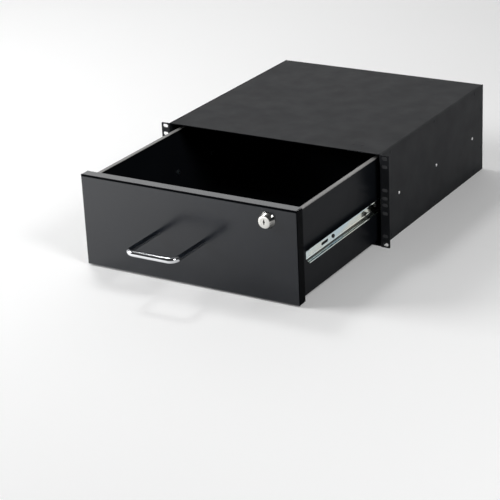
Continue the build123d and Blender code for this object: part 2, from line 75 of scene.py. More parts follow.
# Radius and height of each ring of the countersunk rivets that hold the slides
SLIDE_RIVET = ((0, 0), (3.0, 0), (1.6, 1.2), (1.6, 2.7), (3.0, 2.7), (2.85, 2.97), (2.25, 3.18),
               (1.2, 3.28), (0, 3.3))
SLIDE_SCREW = {"shank_radius": 2.0, "shank": 6.2, "head_radius": 3.6, "head": 1.9}
PULL_SCREW = {"shank_radius": 1.9, "shank": 11.7, "head_radius": 4.0, "head": 2.6}
SLIDE_NUT = {"radius": 4.4, "thickness": 3.2, "hole": 2.0}
FRONT_NUT = {"radius": 4.2, "thickness": 3.2, "hole": 2.0}
BARREL_NUT = {"radius": 14.0, "thickness": 4.5, "hole": 9.65}
NUT_LEAD = 0.3
BARREL_BORE, BARREL_BODY, BARREL_FLAT = 6.08, 9.5, 8.0
BARREL_FACE_RADIUS, BARREL_FACE_END = 11.2, 1.5
BARREL_THREAD_START, BARREL_LENGTH = 14.0, 34.7

# Steps round turned shapes, and the angle past which an edge between their faces is sharp

RIVET_STEPS, SCREW_STEPS, NUT_STEPS, BARREL_STEPS = 48, 96, 72, 72
SCREW_TOP_RINGS = 16
THREAD_RINGS_IN_PITCH = 6
BALL_SEGMENTS, BALL_RINGS = 32, 20
SHARP_ANGLE = math.radians(32)

# Index of refraction of each coat, which sets how much it shines

HOUSING_IOR, TRAY_IOR, FRONT_IOR = 1.3, 1.13, 1.48

# Where a coat carries painted shade or a painted highlight, in metres: the width of the front
# panel's right return and how far below its top the bend lie in painted shade, and how far
# down the tray's folded tops carry a painted highlight

RETURN_WIDTH = 1.5 * MM
BEND_LOW, BEND_LOW_FULL, BEND_HIGH_FULL, BEND_HIGH = 4.0 * MM, 3.0 * MM, 0.15 * MM, 0.05 * MM
LIP_HEIGHT = 1.2 * MM
# Painted highlight: the pale greys that stand in for light caught on the tray's folded tops
PAINTED_HIGHLIGHT_TONES = ((0.2, 0.197, 0.193), (0.29, 0.287, 0.281))

# The studio, in metres

FLOOR_REACH = 14.0
DRAWER_MIDDLE = (0, -0.1, 0)
RIGHT_SIDE = (0.45, 0, 0)
# Each lamp's name, place, aim, width and height, and the setting that holds its power
LAMPS = (
    ("rim_lamp", (-1.4, 2.25, 1.2), DRAWER_MIDDLE, (2.6, 1.3), "rim_power"),
    ("key_lamp", (-2.6, -1.2, 1.4), DRAWER_MIDDLE, (1.5, 1.2), "key_power"),
    ("side_lamp", (1.9, -0.9, 1.7), RIGHT_SIDE, (0.8, 0.8), "side_power"),
    ("top_lamp", (-1.2, 0.6, 2.2), DRAWER_MIDDLE, (0.5, 0.5), "top_power"),
)
# Where the floor's painted reflection, a glow that only gloss sees, is full on each side and where
# it ends, along X
LEFT_GLOW_FULL, LEFT_GLOW_END = -0.45, 0.1
RIGHT_GLOW_END, RIGHT_GLOW_FULL = 0.2, 0.3
VIEW_REACH = 100.0

# The sky's strength away from its bright side, and the cosine at which it starts to brighten

SKY_DIM_STRENGTH, SKY_START = 0.05, 0.1

# Width of the camera's sensor in millimetres

SENSOR_WIDTH = 36.0


# Sizes and colours that a user may change


class DrawerPaintSettings(bpy.types.PropertyGroup):
    """Black powder coat of the housing, tray and front panel."""

    coat_color: bpy.props.FloatVectorProperty(
        name="Coat Color", description="Colour of the black powder coat",
        default=(0.0065, 0.0075, 0.0095), size=3, min=0, max=1, subtype="COLOR")
    front_color: bpy.props.FloatVectorProperty(
        name="Front Color", description="Colour of the front panel's coat",
        default=(0.0095, 0.0118, 0.0165), size=3, min=0, max=1, subtype="COLOR")
    front_roughness: bpy.props.FloatProperty(
        name="Front Roughness", description="Roughness of the semi-gloss front panel",
        default=0.22, min=0, max=1)
    tray_roughness: bpy.props.FloatProperty(
        name="Tray Roughness", description="Roughness of the satin coat on the tray",
        default=0.34, min=0, max=1)
    housing_roughness: bpy.props.FloatProperty(
        name="Housing Roughness", description="Roughness of the satin coat on the housing",
        default=0.62, min=0, max=1)
    peel_size: bpy.props.FloatProperty(
        name="Peel Size", description="Distance between the waves of the coat's skin",
        default=0.0016, unit="LENGTH")
    peel_depth: bpy.props.FloatProperty(
        name="Peel Depth", description="Height of the waves of the coat's skin",
        default=0.000012, unit="LENGTH")


class DrawerMetalSettings(bpy.types.PropertyGroup):
    """Bare and plated metals."""

    zinc_cool: bpy.props.FloatVectorProperty(
        name="Cool Zinc", description="Bluish tone of the zinc plate",
        default=(0.60, 0.74, 0.80), size=3, min=0, max=1, subtype="COLOR")
    zinc_warm: bpy.props.FloatVectorProperty(
        name="Warm Zinc", description="Yellowish tone of the zinc plate",
        default=(0.86, 0.84, 0.70), size=3, min=0, max=1, subtype="COLOR")
    chrome_color: bpy.props.FloatVectorProperty(
        name="Chrome Color", description="Colour of the pull's chrome",
        default=(0.68, 0.69, 0.71), size=3, min=0, max=1, subtype="COLOR")
    nickel_color: bpy.props.FloatVectorProperty(
        name="Nickel Color", description="Colour of the lock's nickel",
        default=(0.74, 0.73, 0.70), size=3, min=0, max=1, subtype="COLOR")
    steel_color: bpy.props.FloatVectorProperty(
        name="Steel Color", description="Colour of the rolled steel cages",
        default=(0.46, 0.46, 0.45), size=3, min=0, max=1, subtype="COLOR")


class DrawerHardwareSettings(bpy.types.PropertyGroup):
    """Small hardware that repeats."""

    ball_radius: bpy.props.FloatProperty(
        name="Ball Radius", description="Radius of a slide's ball",
        default=0.002, unit="LENGTH")
    balls_in_row: bpy.props.IntProperty(
        name="Balls in a Row", description="Balls in one row of a cage",
        default=7, min=1)
    recess_width: bpy.props.FloatProperty(
        name="Recess Width", description="Width of a blade of the cross recess",
        default=0.0011, unit="LENGTH")
    recess_length: bpy.props.FloatProperty(
        name="Recess Length", description="Length of a blade of the cross recess",
        default=0.0042, unit="LENGTH")
    recess_depth: bpy.props.FloatProperty(
        name="Recess Depth", description="Depth of the cross recess",
        default=0.0012, unit="LENGTH")
    thread_pitch: bpy.props.FloatProperty(
        name="Thread Pitch", description="Pitch of the thread on the lock's barrel",
        default=0.001, unit="LENGTH")
    thread_depth: bpy.props.FloatProperty(
        name="Thread Depth", description="Depth of the thread on the lock's barrel",
        default=0.00045, unit="LENGTH")
    nut_chamfer: bpy.props.FloatProperty(
        name="Nut Chamfer", description="How far a nut's corners are turned down",
        default=0.0004, unit="LENGTH")


class DrawerStudioSettings(bpy.types.PropertyGroup):
    """Floor, lamps and camera."""

    floor_color: bpy.props.FloatVectorProperty(
        name="Floor Color", description="Colour of the floor",
        default=(0.86, 0.86, 0.86), size=3, min=0, max=1, subtype="COLOR")
    floor_lift: bpy.props.FloatProperty(
        name="Floor Lift", description="Light that only the camera sees on the floor",
        default=0.12, min=0)
    # Painted reflection: how brightly the floor glows in glossy reflections only, on the left and
    # on the right
    left_painted_reflection: bpy.props.FloatProperty(
        name="Left Glow", description="Paleness that gloss shows of the floor on the left",
        default=1.0, min=0)
    right_painted_reflection: bpy.props.FloatProperty(
        name="Right Glow", description="Paleness that gloss shows of the floor on the right",
        default=0.35, min=0)
    world_strength: bpy.props.FloatProperty(
        name="World Strength", description="Strength of the sky behind and to the left",
        default=0.4, min=0)
    sky_side: bpy.props.FloatVectorProperty(
        name="Sky Side", description="The side from which the sky lights the drawer",
        default=(-0.75, 0.6, 0.25), size=3, subtype="DIRECTION")
    key_power: bpy.props.FloatProperty(
        name="Key Power", description="Power of the large lamp on the left",
        default=82.0, unit="POWER")
    rim_power: bpy.props.FloatProperty(
        name="Rim Power", description="Power of the large lamp behind, to the left",
        default=12.0, unit="POWER")
    side_power: bpy.props.FloatProperty(
        name="Side Power", description="Power of the lamp over the floor on the right",
        default=26.0, unit="POWER")
    top_power: bpy.props.FloatProperty(
        name="Top Power", description="Power of the soft lamp overhead",
        default=14.0, unit="POWER")
    camera_place: bpy.props.FloatVectorProperty(
        name="Camera Place", description="Where the camera stands",
        default=(1.5549, -2.6043, 1.1341), size=3, subtype="TRANSLATION")
    camera_turn: bpy.props.FloatProperty(
        name="Camera Turn", description="How far the camera looks to the left of straight in",
        default=math.radians(31.766), subtype="ANGLE")
    camera_tilt: bpy.props.FloatProperty(
        name="Camera Tilt", description="How far the camera looks down",
        default=math.radians(22.655), subtype="ANGLE")
    camera_roll: bpy.props.FloatProperty(
        name="Camera Roll", description="Turn of the camera about its own line of sight",
        default=math.radians(-2.748), subtype="ANGLE")
    focal_length: bpy.props.FloatProperty(
        name="Focal Length", description="Focal length on a 36 mm sensor, in millimetres",
        default=125.31)


SETTINGS = {
    "drawer_paint": DrawerPaintSettings,
    "drawer_metal": DrawerMetalSettings,
    "drawer_hardware": DrawerHardwareSettings,
    "drawer_studio": DrawerStudioSettings,
}


# Shader building


class Finish:
    """A material with its Principled shader, and helpers that add nodes to it."""

    def __init__(self, name):
        self.material = bpy.data.materials.new(name)
        self.material.use_nodes = True
        self.nodes = self.material.node_tree.nodes
        self.links = self.material.node_tree.links
        self.shader = self.nodes["Principled BSDF"]
        self.coordinates = self.nodes.new("ShaderNodeTexCoord")

    def set(self, **values):
        for name, value in values.items():
            self.shader.inputs[name.replace("_", " ")].default_value = value

    def link(self, source, target):
        self.links.new(source, target)

    def mapped(self, **values):
        """The piece's own coordinates, moved or stretched."""
        mapping = self.nodes.new("ShaderNodeMapping")
        for name, value in values.items():
            mapping.inputs[name].default_value = value
        self.link(self.coordinates.outputs["Object"], mapping.inputs["Vector"])
        return mapping.outputs["Vector"]

    def noise(self, scale, detail=2.0, roughness=0.5, stretch=(1, 1, 1)):
        noise = self.nodes.new("ShaderNodeTexNoise")
        noise.inputs["Scale"].default_value = scale
        noise.inputs["Detail"].default_value = detail
        noise.inputs["Roughness"].default_value = roughness
        self.link(self.mapped(Scale=stretch), noise.inputs["Vector"])
        return noise.outputs["Fac"]

    def ramp(self, source, low_color, high_color, start=0.3, end=0.7):
        """One colour below start, another above end, and a blend between."""
        ramp = self.nodes.new("ShaderNodeValToRGB")
        stops = ((start, low_color), (end, high_color))
        for element, (place, color) in zip(ramp.color_ramp.elements, stops):
            element.position = place
            element.color = (*color, 1)
        self.link(source, ramp.inputs["Fac"])
        return ramp.outputs["Color"]

    def spread(self, source, low, high, start=0.3, end=0.7):
        """A value that goes from low to high as the source goes from start to end."""
        spread = self.nodes.new("ShaderNodeMapRange")
        values = (("From Min", start), ("From Max", end), ("To Min", low), ("To Max", high))
        for name, value in values:
            spread.inputs[name].default_value = value
        self.link(source, spread.inputs["Value"])
        return spread.outputs["Result"]

    def rise(self, source, start, end):
        return self.spread(source, 0.0, 1.0, start, end)

    def fall(self, source, start, end):
        return self.spread(source, 1.0, 0.0, start, end)

    def mix(self, factor, first, second):
        mix = self.nodes.new("ShaderNodeMix")
        mix.data_type = "RGBA"
        for index, value in ((0, factor), (6, first), (7, second)):
            if isinstance(value, bpy.types.NodeSocket):
                self.link(value, mix.inputs[index])
            else:
                mix.inputs[index].default_value = (*value, 1)
        return mix.outputs[2]

    def bump(self, height, distance, below=None):
        bump = self.nodes.new("ShaderNodeBump")
        bump.inputs["Distance"].default_value = distance
        bump.inputs["Strength"].default_value = 1.0
        self.link(height, bump.inputs["Height"])
        if below is not None:
            self.link(below, bump.inputs["Normal"])
        return bump.outputs["Normal"]

    def combined(self, operation, first, second):
        combined = self.nodes.new("ShaderNodeMath")
        combined.operation = operation
        self.link(first, combined.inputs[0])
        self.link(second, combined.inputs[1])
        return combined.outputs["Value"]

    def axis(self, name):
        parts = self.nodes.new("ShaderNodeSeparateXYZ")
        self.link(self.coordinates.outputs["Object"], parts.inputs["Vector"])
        return parts.outputs[name]

    def wear(self, base, roughness=None, normal=None):
        """Put colour, roughness and bump on the shader, and give back the material."""
        self.link(base, self.shader.inputs["Base Color"])
        if roughness is not None:
            self.link(roughness, self.shader.inputs["Roughness"])
        if normal is not None:
            self.link(normal, self.shader.inputs["Normal"])
        return self.material


def lighter(color, share):
    return tuple(min(1.0, part * share) for part in color)


def powder_coat(name, color, roughness, ior, settings, painted_shade_edges=None, painted_highlight_above=None):
    """Black powder coat with soft waves, faint clouding and dust.

    painted_shade_edges gives the X past which it is painted near black as shade, and the top below
    which its bend is painted near black as shade.
    painted_highlight_above is the height above which it carries a painted highlight, paler.
    """
    coat = Finish(name)
    coat.set(Metallic=0.0, IOR=ior)
    clouds = coat.noise(scale=9.0, detail=3.0)
    base = coat.ramp(clouds, lighter(color, 0.9), lighter(color, 1.15))
    specks = coat.noise(scale=2600.0, detail=1.0)
    dust = coat.spread(specks, low=0.0, high=0.12, start=0.66, end=0.78)
    base = coat.mix(dust, base, lighter(color, 9.0))
    gloss = coat.spread(coat.noise(scale=26.0, detail=4.0), roughness - 0.03, roughness + 0.04)
    # Painted shade: the right return and the bend below the top are painted near black and made
    # metallic, standing in for the shade these faces take.
    if painted_shade_edges is not None:
        side_x, top_z = painted_shade_edges
        height = coat.axis("Z")
        side = coat.rise(coat.axis("X"), side_x, side_x + MM)
        below = coat.fall(height, top_z - BEND_LOW, top_z - BEND_LOW_FULL)
        above = coat.rise(height, top_z - BEND_HIGH_FULL, top_z - BEND_HIGH)
        outside_bend = coat.combined("MAXIMUM", below, above)
        painted_shade = coat.combined("MAXIMUM", side, coat.fall(outside_bend, 0.0, 1.0))
        gloss = coat.mix(painted_shade, gloss, (0.8, 0.8, 0.8))
        base = coat.mix(painted_shade, base, lighter(color, 0.2))
        coat.link(painted_shade, coat.shader.inputs["Metallic"])
    # Painted highlight: the tray's folded tops are painted pale grey, standing in for the light
    # they catch.
    if painted_highlight_above is not None:
        painted_highlight = coat.rise(coat.axis("Z"), painted_highlight_above, painted_highlight_above + MM / 2)
        base = coat.mix(painted_highlight, base, coat.ramp(clouds, *PAINTED_HIGHLIGHT_TONES))
    peel = coat.noise(scale=1.0 / settings.peel_size, detail=1.0)
    grain = coat.noise(scale=4.0 / settings.peel_size, detail=1.0)
    normal = coat.bump(peel, settings.peel_depth)
    normal = coat.bump(grain, settings.peel_depth * 0.12, below=normal)
    return coat.wear(base, gloss, normal)


def zinc_plate(name, settings, along=(1, 0.06, 1), shine=0.1):
    """Bright zinc with cool and warm tones, and fine lines along the rolled strip."""
    zinc = Finish(name)
    zinc.set(Metallic=1.0)
    tone = zinc.noise(scale=34.0, detail=3.0, stretch=(1, 0.25, 1))
    base = zinc.ramp(tone, settings.zinc_cool, settings.zinc_warm, start=0.36, end=0.6)
    lines = zinc.noise(scale=2400.0, detail=2.0, stretch=along)
    base = zinc.mix(zinc.spread(lines, 0.0, 0.3), base, lighter(settings.zinc_cool, 0.62))
    gloss = zinc.spread(lines, shine - 0.05, shine + 0.1)
    return zinc.wear(base, gloss, zinc.bump(lines, distance=0.000004))


def bright_plate(name, color, shine, smudge=0.05):
    """Polished plating with faint smudges."""
    plate = Finish(name)
    plate.set(Metallic=1.0)
    cloud = plate.noise(scale=55.0, detail=4.0)
    base = plate.ramp(cloud, lighter(color, 0.94), color)
    gloss = plate.spread(plate.noise(scale=140.0, detail=3.0), shine, shine + smudge)
    ripple = plate.noise(scale=420.0, detail=2.0)
    return plate.wear(base, gloss, plate.bump(ripple, distance=0.000003))


def rolled_steel(name, color):
    """Plain rolled steel with a thin film of grease."""
    steel = Finish(name)
    steel.set(Metallic=1.0)
    streak = steel.noise(scale=900.0, detail=3.0, stretch=(1, 0.05, 1))
    base = steel.ramp(streak, lighter(color, 0.75), color)
    film = steel.noise(scale=60.0, detail=3.0)
    grease = steel.spread(film, low=0.0, high=0.35, start=0.5, end=0.65)
    base = steel.mix(grease, base, (0.2, 0.15, 0.08))
    gloss = steel.spread(streak, 0.25, 0.42)
    return steel.wear(base, gloss, steel.bump(streak, distance=0.000005))


def moulded_rubber(name):
    """Matte black rubber with a fine skin."""
    rubber = Finish(name)
    rubber.set(IOR=1.45)
    skin = rubber.noise(scale=3200.0, detail=3.0)
    cloud = rubber.noise(scale=120.0, detail=2.0)
    base = rubber.ramp(cloud, (0.012, 0.012, 0.012), (0.022, 0.022, 0.021))
    return rubber.wear(base, rubber.spread(skin, 0.72, 0.88), rubber.bump(skin, distance=0.00002))


def turned_nickel(name, color):
    """Nickel that is turned in fine rings round the lock's axis."""
    nickel = Finish(name)
    nickel.set(Metallic=1.0)
    low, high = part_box("lock_collar")
    centre = (low + high) / 2
    length = nickel.nodes.new("ShaderNodeVectorMath")
    length.operation = "LENGTH"
    from_axis = nickel.mapped(Location=(-centre.x, 0, -centre.z), Scale=(1, 0, 1))
    nickel.link(from_axis, length.inputs[0])
    rings = nickel.nodes.new("ShaderNodeTexNoise")
    rings.noise_dimensions = "1D"
    rings.inputs["Scale"].default_value = 3600.0
    rings.inputs["Detail"].default_value = 2.0
    nickel.link(length.outputs["Value"], rings.inputs["W"])
    base = nickel.ramp(nickel.noise(scale=90.0, detail=3.0), lighter(color, 0.93), color)
    gloss = nickel.spread(rings.outputs["Fac"], 0.06, 0.12)
    return nickel.wear(base, gloss, nickel.bump(rings.outputs["Fac"], distance=0.000003))


def dress(material, *names):
    """Give CAD nodes a finish."""
    for name in names:
        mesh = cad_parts[name].data
        mesh.materials.clear()
        mesh.materials.append(material)


# Geometry trees


class Tree:
    """A geometry node tree with named inputs."""

    def __init__(self, name):
        self.tree = bpy.data.node_groups.new(name, "GeometryNodeTree")
        for way in ("INPUT", "OUTPUT"):
            self.tree.interface.new_socket(
                "Geometry", in_out=way, socket_type="NodeSocketGeometry")
        self.entry = self.tree.nodes.new("NodeGroupInput")
        self.exit = self.tree.nodes.new("NodeGroupOutput")

    def input(self, name, kind="NodeSocketFloat"):
        self.tree.interface.new_socket(name, in_out="INPUT", socket_type=kind)

    def node(self, kind, **values):
        node = self.tree.nodes.new(kind)
        for name, value in values.items():
            setattr(node, name, value)
        return node

    def link(self, source, target):
        self.tree.links.new(source, target)

    def given(self, name):
        return self.entry.outputs[name]

    def finish(self, geometry):
        realize = self.node("GeometryNodeRealizeInstances")
        paint = self.node("GeometryNodeSetMaterial")
        self.link(geometry, realize.inputs["Geometry"])
        self.link(realize.outputs["Geometry"], paint.inputs["Geometry"])
        self.link(self.given("Finish"), paint.inputs["Material"])
        self.link(paint.outputs["Geometry"], self.exit.inputs["Geometry"])
        return self.tree


def ball_row_tree():
    """Balls in a row along Y, one row for each point of the piece."""
    made = Tree("ball_rows")
    made.input("Ball Radius")
    made.input("Balls in a Row", "NodeSocketInt")
    made.input("Pitch")
    made.input("Finish", "NodeSocketMaterial")
    line = made.node("GeometryNodeMeshLine", mode="OFFSET")
    step = made.node("ShaderNodeCombineXYZ")
    made.link(made.given("Pitch"), step.inputs["Y"])
    made.link(made.given("Balls in a Row"), line.inputs["Count"])
    made.link(step.outputs["Vector"], line.inputs["Offset"])
    ball = made.node("GeometryNodeMeshUVSphere")
    ball.inputs["Segments"].default_value = BALL_SEGMENTS
    ball.inputs["Rings"].default_value = BALL_RINGS
    made.link(made.given("Ball Radius"), ball.inputs["Radius"])
    smooth = made.node("GeometryNodeSetShadeSmooth")
    made.link(ball.outputs["Mesh"], smooth.inputs["Geometry"])
    row = made.node("GeometryNodeInstanceOnPoints")
    made.link(line.outputs["Mesh"], row.inputs["Points"])
    made.link(smooth.outputs["Geometry"], row.inputs["Instance"])
    rows = made.node("GeometryNodeInstanceOnPoints")
    made.link(made.given("Geometry"), rows.inputs["Points"])
    made.link(row.outputs["Instances"], rows.inputs["Instance"])
    return made.finish(rows.outputs["Instances"])


def hardware_tree():
    """One copy of a screw, rivet or nut on each point, turned by the point's own turn."""
    made = Tree("hardware_on_points")
    made.input("Shape", "NodeSocketObject")
    made.input("Size")
    made.input("Finish", "NodeSocketMaterial")
    shape = made.node("GeometryNodeObjectInfo", transform_space="ORIGINAL")
    made.link(made.given("Shape"), shape.inputs["Object"])
    turn = made.node("GeometryNodeInputNamedAttribute", data_type="FLOAT_VECTOR")
    turn.inputs["Name"].default_value = "turn"
    rotation = made.node("FunctionNodeEulerToRotation")
    made.link(turn.outputs["Attribute"], rotation.inputs["Euler"])
    copies = made.node("GeometryNodeInstanceOnPoints")
    made.link(made.given("Geometry"), copies.inputs["Points"])
    made.link(shape.outputs["Geometry"], copies.inputs["Instance"])
    made.link(rotation.outputs["Rotation"], copies.inputs["Rotation"])
    made.link(made.given("Size"), copies.inputs["Scale"])
    return made.finish(copies.outputs["Instances"])


def grown(name, points, tree, inputs, turns=None):
    """A plain mesh of what a geometry tree makes on some points."""
    mesh = bpy.data.meshes.new(name)
    mesh.from_pydata(points, [], [])
    if turns is not None:
        attribute = mesh.attributes.new("turn", "FLOAT_VECTOR", "POINT")
        attribute.data.foreach_set("vector", [angle for turn in turns for angle in turn])
    piece = bpy.data.objects.new(name, mesh)
    bpy.context.scene.collection.objects.link(piece)
    modifier = piece.modifiers.new("grow", "NODES")
    modifier.node_group = tree
    for socket in tree.interface.items_tree:
        if socket.item_type == "SOCKET" and socket.in_out == "INPUT" and socket.name in inputs:
            modifier[socket.identifier] = inputs[socket.name]
    piece.update_tag()
    bpy.context.view_layer.update()
    evaluated = piece.evaluated_get(bpy.context.evaluated_depsgraph_get())
    result = bpy.data.meshes.new_from_object(evaluated)
    piece.modifiers.remove(modifier)
    piece.data = result
    result.name = name
    return piece


# Where the CAD has its small hardware


def solids_of(name):
    """Lowest and highest corner of each solid of a CAD node, from a merged copy of its mesh."""
    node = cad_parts[name]
    copy = bmesh.new()
    copy.from_mesh(node.data)
    copy.transform(node.matrix_world)
    bmesh.ops.remove_doubles(copy, verts=copy.verts, dist=0.01 * MM)
    left = set(copy.verts)
    boxes = []
    while left:
        seed = left.pop()
        found, queue = [seed], [seed]
        while queue:
            for edge in queue.pop().link_edges:
                for vert in edge.verts:
                    if vert in left:
                        left.remove(vert)
                        found.append(vert)
                        queue.append(vert)
        low = Vector([min(vert.co[axis] for vert in found) for axis in range(3)])
        high = Vector([max(vert.co[axis] for vert in found) for axis in range(3)])
        boxes.append((low, high))
    copy.free()
    return sorted(boxes, key=lambda box: tuple(round(value, 6) for value in box[0]))


def outward(box):
    """Where a piece along X starts, and the turn that points it away from the middle."""
    low, high = box
    middle = (low + high) / 2
    if middle.x > 0:
        return (low.x, middle.y, middle.z), (0, QUARTER_TURN, 0)
    return (high.x, middle.y, middle.z), (0, -QUARTER_TURN, 0)


def backward(box):
    """Where a piece along Y starts, and the turn that points it into the drawer."""
    low, high = box
    return ((low.x + high.x) / 2, low.y, (low.z + high.z) / 2), (-QUARTER_TURN, 0, 0)


def upright(box):
    """Where a piece along Z starts, which needs no turn."""
    low, high = box
    return ((low.x + high.x) / 2, (low.y + high.y) / 2, low.z), (0, 0, 0)


# Shapes of the hardware, along Z and in millimetres


def shape_of_rings(name, rings):
    """A closed shape from rings of (x, y, z) points; a ring of one point closes an end."""
    shape = bmesh.new()
    made = [[shape.verts.new(point) for point in ring] for ring in rings]
    for low, high in zip(made, made[1:]):
        steps = max(len(low), len(high))
        for index in range(steps):
            after = (index + 1) % steps
            if len(low) == 1:
                shape.faces.new((low[0], high[after], high[index]))
            elif len(high) == 1:
                shape.faces.new((low[index], low[after], high[0]))
            else:
                shape.faces.new((low[index], low[after], high[after], high[index]))
    bmesh.ops.recalc_face_normals(shape, faces=shape.faces)
    mesh = bpy.data.meshes.new(name)
    shape.to_mesh(mesh)
    shape.free()
    mesh.shade_smooth()
    mesh.set_sharp_from_angle(angle=SHARP_ANGLE)
    return bpy.data.objects.new(name, mesh)


def ring(radius, height, steps):
    """Points on a circle, or one point where the radius is zero."""
    if radius == 0:
        return [(0, 0, height)]
    angles = [2 * math.pi * index / steps for index in range(steps)]
    return [(radius * math.cos(angle), radius * math.sin(angle), height) for angle in angles]


def turned_shape(name, profile):
    """A round shape from the radius and height of each of its rings."""
    return shape_of_rings(name, [ring(radius, height, RIVET_STEPS) for radius, height in profile])


def rivet_shape(name, near, span, head_radius, shank_radius, far):
    """A rivet with a head of height near, a shank over span and a domed head of height far."""
    top = near + span
    profile = [(0, 0), (head_radius * 0.86, 0), (head_radius, near * 0.4), (head_radius, near)]
    profile += [(shank_radius, near), (shank_radius, top)]
    profile += [(head_radius, top), (head_radius * 0.95, top + far * 0.45)]
    profile += [(head_radius * 0.75, top + far * 0.8), (head_radius * 0.4, top + far * 0.97)]
    return turned_shape(name, profile + [(0, top + far)])


def screw_shape(name, shank_radius, shank, head_radius, head, hardware):
    """A pan-head screw with a cross recess in its head."""
    blade = hardware.recess_width / MM / 2
    reach = hardware.recess_length / MM / 2
    depth = hardware.recess_depth / MM
    top = shank + head
    profile = [(0, 0), (shank_radius * 0.8, 0), (shank_radius, shank_radius * 0.2)]
    profile += [(shank_radius, shank), (head_radius, shank), (head_radius, shank + head * 0.45)]
    for share, height in ((0.96, 0.66), (0.88, 0.83), (0.76, 0.95)):
        profile.append((head_radius * share, shank + head * height))
    rings = [ring(radius, height, SCREW_STEPS) for radius, height in profile]
    for index in range(SCREW_TOP_RINGS, -1, -1):
        level = []
        for x, y, z in ring(head_radius * 0.72 * index / SCREW_TOP_RINGS, top, SCREW_STEPS):
            wide, long = sorted((abs(x), abs(y)))
            inside = wide < blade and long < reach
            level.append((x, y, z - depth * (1 - 0.45 * long / reach) if inside else z))
        rings.append(level)
    return shape_of_rings(name, rings)


def nut_shape(name, radius, thickness, hole, chamfer, turn):
    """A six-sided nut with turned-down corners; turn points one of its corners."""
    flat = radius * math.cos(SIXTH_TURN / 2)
    rims = []
    for index in range(NUT_STEPS):
        angle = 2 * math.pi * index / NUT_STEPS
        across = ((angle - turn) % SIXTH_TURN) - SIXTH_TURN / 2
        rims.append((angle, flat / math.cos(across)))

    def round_rim(height):
        return ring(flat, height, NUT_STEPS)

    def six_sided(low):
        made = []
        for angle, rim in rims:
            drop = max(0.0, (rim - flat) / (radius - flat)) * chamfer
            height = drop if low else thickness - drop
            made.append((rim * math.cos(angle), rim * math.sin(angle), height))
        return made

    lead = hole + NUT_LEAD
    rings = [ring(hole, NUT_LEAD, NUT_STEPS), ring(lead, 0, NUT_STEPS), round_rim(0)]
    rings += [six_sided(True), six_sided(False), round_rim(thickness)]
    rings += [ring(lead, thickness, NUT_STEPS), ring(hole, thickness - NUT_LEAD, NUT_STEPS)]
    return shape_of_rings(name, rings + [ring(hole, NUT_LEAD, NUT_STEPS)])


def barrel_shape(name, hardware):
    """The lock's barrel: a round face, a body with two flats, a thread at its rear, and a bore."""
    pitch = hardware.thread_pitch / MM
    depth = hardware.thread_depth / MM
    rise = pitch / THREAD_RINGS_IN_PITCH

    def level(height, cut):
        made = []
        for index in range(BARREL_STEPS):
            share = index / BARREL_STEPS
            wave = abs(((height / pitch - share) % 1.0) * 2 - 1)
            angle = 2 * math.pi * share
            flat_reach = BARREL_FLAT / max(abs(math.cos(angle)), 1e-6)
            reach = min(BARREL_BODY - cut * depth * wave, flat_reach)
            made.append((reach * math.cos(angle), reach * math.sin(angle), height))
        return made

    face = [(BARREL_BORE, 0), (BARREL_FACE_RADIUS - 0.6, 0), (BARREL_FACE_RADIUS - 0.18, 0.18)]
    face += [(BARREL_FACE_RADIUS, 0.6), (BARREL_FACE_RADIUS, BARREL_FACE_END)]
    rings = [ring(radius, height, BARREL_STEPS) for radius, height in face]
    rings += [level(BARREL_FACE_END, 0), level(BARREL_THREAD_START, 0)]
    count = round((BARREL_LENGTH - BARREL_THREAD_START) / rise)
    rings += [level(BARREL_THREAD_START + index * rise, 1) for index in range(1, count)]
    rings += [level(BARREL_LENGTH, 1)]
    rings += [ring(BARREL_BORE, BARREL_LENGTH, BARREL_STEPS), ring(BARREL_BORE, 0, BARREL_STEPS)]
    return shape_of_rings(name, rings)


def fitted(name, shape, placed, body, node, finish):
    """Copies of a shape on its places, which ride on a body and stand in for a CAD node."""
    tree = bpy.data.node_groups.get("hardware_on_points") or hardware_tree()
    shape.data.materials.append(finish)
    inputs = {"Shape": shape, "Size": MM, "Finish": finish}
    spots = [spot for spot, turn in placed]
    turns = [turn for spot, turn in placed]
    piece = grown(name, spots, tree, inputs, turns)
    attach(piece, body)
    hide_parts(node)
    return piece


# The pieces


class DRAWER_OT_paint_housing(bpy.types.Operator):
    """Coat the housing's sides, covers and back."""

    bl_idname = "drawer.paint_housing"
    bl_label = "Paint Housing"

    def execute(self, context):
        paint = context.scene.drawer_paint
        coat = powder_coat("housing_powder_coat", paint.coat_color, paint.housing_roughness,
                           HOUSING_IOR, paint)
        dress(coat, "housing_side_left", "housing_side_right", "top_cover", "bottom_pan",
              "back_panel")
        return {"FINISHED"}


class DRAWER_OT_paint_tray(bpy.types.Operator):
    """Coat the tray and its end walls, with a painted highlight on the tray's folded tops."""

    bl_idname = "drawer.paint_tray"
    bl_label = "Paint Tray"

    def execute(self, context):
        paint = context.scene.drawer_paint
        lip_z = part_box("drawer_tray")[1].z - LIP_HEIGHT
        coat = powder_coat("tray_powder_coat", paint.coat_color, paint.tray_roughness, TRAY_IOR,
                           paint, painted_highlight_above=lip_z)
        dress(coat, "drawer_tray", "inner_front", "tray_back")
        return {"FINISHED"}


class DRAWER_OT_paint_front(bpy.types.Operator):
    """Coat the front panel, with painted shade on its right return and in the bend below its top.
    """

    bl_idname = "drawer.paint_front"
    bl_label = "Paint Front Panel"

    def execute(self, context):
        paint = context.scene.drawer_paint
        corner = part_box("front_panel")[1]
        shade_edges = (corner.x - RETURN_WIDTH, corner.z)
        coat = powder_coat("front_powder_coat", paint.front_color, paint.front_roughness,
                           FRONT_IOR, paint, painted_shade_edges=shade_edges)
        dress(coat, "front_panel")
        return {"FINISHED"}


